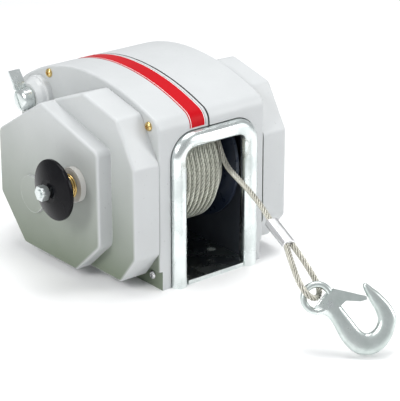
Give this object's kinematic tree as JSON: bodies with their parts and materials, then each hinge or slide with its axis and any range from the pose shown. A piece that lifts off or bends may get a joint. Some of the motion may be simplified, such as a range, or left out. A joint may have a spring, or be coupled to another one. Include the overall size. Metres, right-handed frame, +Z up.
{
  "type": "electric winch",
  "caption": "Compact electric rope winch with a moulded casing, guide hoop, clutch knob, pawl lever and a steel rope that ends in a snap hook.",
  "frame": {"origin": "centre of the four base bolt holes, on the face that the winch stands on", "axes": "+Z up, +X along the drum away from the clutch knob, -Y the way the rope pays out"},
  "size_m": [0.237, 0.4669, 0.1849],
  "materials": {
    "casing": "satin",
    "gasket": "matte",
    "stripe": "satin",
    "zinc": "bright zinc",
    "frame_paint": "satin",
    "drum_paint": "satin",
    "rope": "greased wire",
    "steel": "machined",
    "bronze": "machined",
    "gold_zinc": "yellow zinc",
    "silver_screws": "bright",
    "black_plastic": "gloss",
    "pale_plastic": "satin",
    "motor_paint": "gloss"
  },
  "bodies": {
    "frame": {"base_plate": "frame_paint", "side_plate_left": "frame_paint", "side_plate_right": "frame_paint", "guide_hoop": "zinc", "casing_left": "casing", "casing_right": "casing", "gear_cover": "casing", "motor_cover": "casing", "seam_gasket": "gasket", "label_stripe": "stripe", "drum_bush_left": "bronze", "drum_bush_right": "bronze", "cover_bush": "bronze", "middle_bushes": "bronze", "first_bushes": "bronze", "motor_can": "motor_paint", "motor_end_bell": "motor_paint", "lever_tower": "casing", "casing_screws": "gold_zinc", "foot_screws": "silver_screws", "cable_gland": "black_plastic", "gland_nut": "black_plastic", "rope_free": "rope", "rope_ferrule": "zinc", "rope_loop": "rope"},
    "drum": {"drum": "drum_paint", "wound_rope": "rope", "drum_shaft": "steel", "ratchet_wheel": "drum_paint", "friction_disc": "bronze", "pressure_plate": "steel", "knob_collar": "pale_plastic", "clutch_stud": "zinc", "clutch_spring": "gold_zinc", "knob_nut": "zinc"},
    "drum_gear": {"drum_gear": "steel"},
    "middle": {"middle_shaft": "steel", "final_pinion": "steel", "middle_gear": "steel"},
    "first": {"first_shaft": "steel", "middle_pinion": "steel", "first_gear": "steel"},
    "rotor": {"motor_shaft": "steel", "motor_pinion": "steel", "motor_armature": "steel"},
    "washer": {"thrust_washer": "steel"},
    "knob": {"knob_hub": "black_plastic", "clutch_knob": "black_plastic"},
    "pawl_lever": {"lever_hub": "zinc", "pawl_lever": "zinc", "pawl_shaft": "zinc", "pawl": "zinc"},
    "hook": {"hook": "zinc", "latch_rivet": "zinc"},
    "latch": {"hook_latch": "zinc"}
  },
  "joints": [
    {"name": "drum_spin", "type": "hinge", "parent": "frame", "child": "drum", "pos_m": [0, -0.044, 0.097], "axis": [1, 0, 0], "continuous": true},
    {"name": "gear_spin", "type": "hinge", "parent": "frame", "child": "drum_gear", "pos_m": [-0.07, -0.044, 0.097], "axis": [1, 0, 0], "continuous": true},
    {"name": "middle_spin", "type": "hinge", "parent": "frame", "child": "middle", "pos_m": [-0.075, 0.02452, 0.06649], "axis": [1, 0, 0], "continuous": true},
    {"name": "first_spin", "type": "hinge", "parent": "frame", "child": "first", "pos_m": [-0.08, 0.04862, 0.09522], "axis": [1, 0, 0], "continuous": true},
    {"name": "motor_spin", "type": "hinge", "parent": "frame", "child": "rotor", "pos_m": [-0.01, 0.06871, 0.07128], "axis": [1, 0, 0], "continuous": true},
    {"name": "washer_slide", "type": "slide", "parent": "drum", "child": "washer", "axis": [-1, 0, 0], "range_m": [0, 0.002]},
    {"name": "knob_turn", "type": "hinge", "parent": "washer", "child": "knob", "pos_m": [-0.13, -0.044, 0.097], "axis": [-1, 0, 0], "range_deg": [0, 360]},
    {"name": "pawl_turn", "type": "hinge", "parent": "frame", "child": "pawl_lever", "pos_m": [-0.06, 0.0725, 0.142], "axis": [1, 0, 0], "range_deg": [0, 8]},
    {"name": "hook_swing", "type": "hinge", "parent": "frame", "child": "hook", "pos_m": [-0.03058, -0.28607, 0.04621], "axis": [-0.7771, 0.6293, 0], "range_deg": [0, 10]},
    {"name": "latch_turn", "type": "hinge", "parent": "hook", "child": "latch", "pos_m": [-0.02386, -0.29319, 0.04296], "axis": [0.5835, 0.7206, -0.3746], "range_deg": [0, 35], "stiffness_Nm_per_rad": 0.02, "springref_deg": -17.19}
  ],
  "couplings": [
    {"joint": "gear_spin", "follows": "drum_spin", "ratio": 1},
    {"joint": "middle_spin", "follows": "drum_spin", "ratio": -2.9474},
    {"joint": "first_spin", "follows": "drum_spin", "ratio": 11.789},
    {"joint": "motor_spin", "follows": "drum_spin", "ratio": -47.158},
    {"joint": "washer_slide", "follows": "knob_turn", "m_per_rad": 0.0003183}
  ]
}
